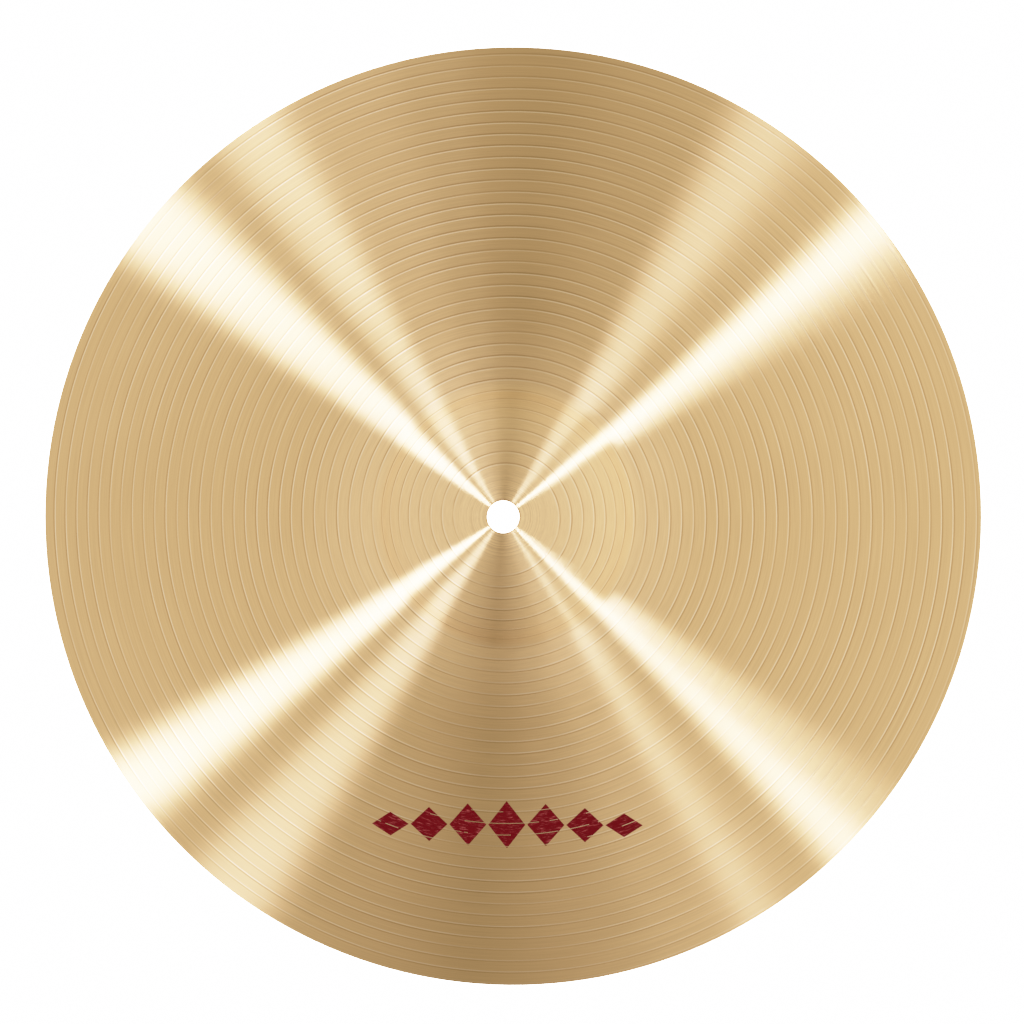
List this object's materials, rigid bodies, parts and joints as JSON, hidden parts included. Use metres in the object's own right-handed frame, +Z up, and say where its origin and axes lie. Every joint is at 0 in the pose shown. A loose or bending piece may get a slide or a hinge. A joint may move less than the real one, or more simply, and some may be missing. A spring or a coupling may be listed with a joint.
{
  "type": "crash cymbal",
  "caption": "Round, thin brass cymbal with a raised bell around a central stand hole, a gently curved bow, turned grooves all over its upper side and a printed ornament near the edge.",
  "frame": {"origin": "on the axis of the stand hole, in the plane that the edge rests on", "axes": "+Z up along the axis of the stand hole, through the raised bell; +X to the right and -Y towards the reader when the printed ornament is below the bell, as seen from above"},
  "size_m": [0.356, 0.356, 0.0309],
  "materials": {
    "brass": "bright pale brass, finely lathed in rings, with a thin clear coat",
    "ink": "opaque crimson screen-printing ink, satin"
  },
  "bodies": {
    "root": {"cymbal": "brass", "printed_emblem": "ink"}
  },
  "joints": []
}
